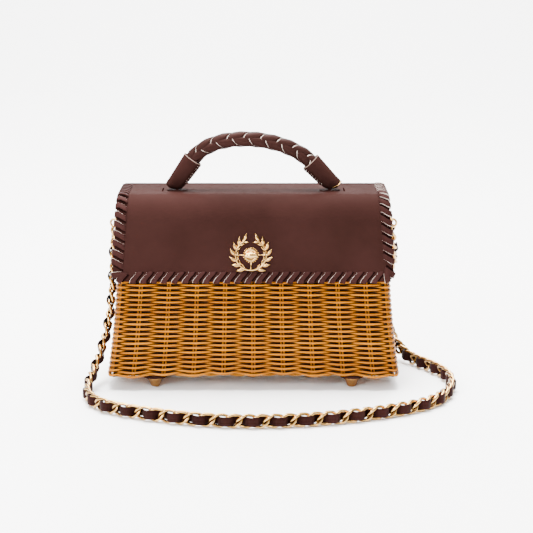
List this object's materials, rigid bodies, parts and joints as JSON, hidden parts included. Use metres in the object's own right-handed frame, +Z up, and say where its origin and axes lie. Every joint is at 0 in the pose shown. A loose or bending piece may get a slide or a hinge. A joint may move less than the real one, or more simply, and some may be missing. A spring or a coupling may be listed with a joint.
{
  "type": "basket box bag",
  "caption": "Tapered wicker box bag with a laced leather flap, a turn clasp, a braided swing handle, brass feet and a chain strap with leather woven through it.",
  "frame": {"origin": "on the floor, under the middle of the basket's foot", "axes": "+X across the bag, to the right seen from the front; -Y is the front with the clasp; +Z up"},
  "size_m": [0.3373, 0.2414, 0.2296],
  "materials": {
    "wicker": "satin varnished rattan",
    "leather": "smooth waxed leather",
    "lining": "matt woven cotton",
    "gilt": "polished pale gilt"
  },
  "bodies": {
    "basket_body": {"basket": "wicker", "lining": "lining", "back_panel": "leather", "strike_plate": "gilt", "foot_pad_front_left": "leather", "foot_pad_front_right": "leather", "foot_pad_back_left": "leather", "foot_pad_back_right": "leather", "foot_front_left": "gilt", "foot_front_right": "gilt", "foot_back_left": "gilt", "foot_back_right": "gilt", "anchor_tab_left": "leather", "anchor_tab_right": "leather", "anchor_ring_left": "gilt", "anchor_ring_right": "gilt", "strap_ring_left": "gilt", "strap_ring_right": "gilt", "strap_chain": "gilt", "strap_lace": "leather"},
    "lid": {"flap": "leather", "flap_lacing": "leather", "clasp_wreath": "gilt", "clasp_backplate": "gilt", "handle_mount_left": "gilt", "handle_mount_right": "gilt", "handle_washer_left": "gilt", "handle_washer_right": "gilt"},
    "handle": {"handle_grip": "leather", "handle_sleeve_left": "leather", "handle_sleeve_right": "leather", "handle_pin_left": "gilt", "handle_pin_right": "gilt"},
    "knob": {"turn_knob": "gilt", "latch_cam": "gilt"}
  },
  "joints": [
    {"name": "lid_hinge", "type": "hinge", "parent": "basket_body", "child": "lid", "pos_m": [0, 0.03835, 0.1735], "axis": [-1, 0, 0], "range_deg": [0, 110]},
    {"name": "handle_swing", "type": "hinge", "parent": "lid", "child": "handle", "pos_m": [0, 0, 0.1834], "axis": [1, 0, 0], "range_deg": [-75, 75]},
    {"name": "knob_turn", "type": "hinge", "parent": "lid", "child": "knob", "pos_m": [-0.002, -0.04811, 0.124], "axis": [0, -0.9912, 0.1323], "range_deg": [0, 90]}
  ]
}
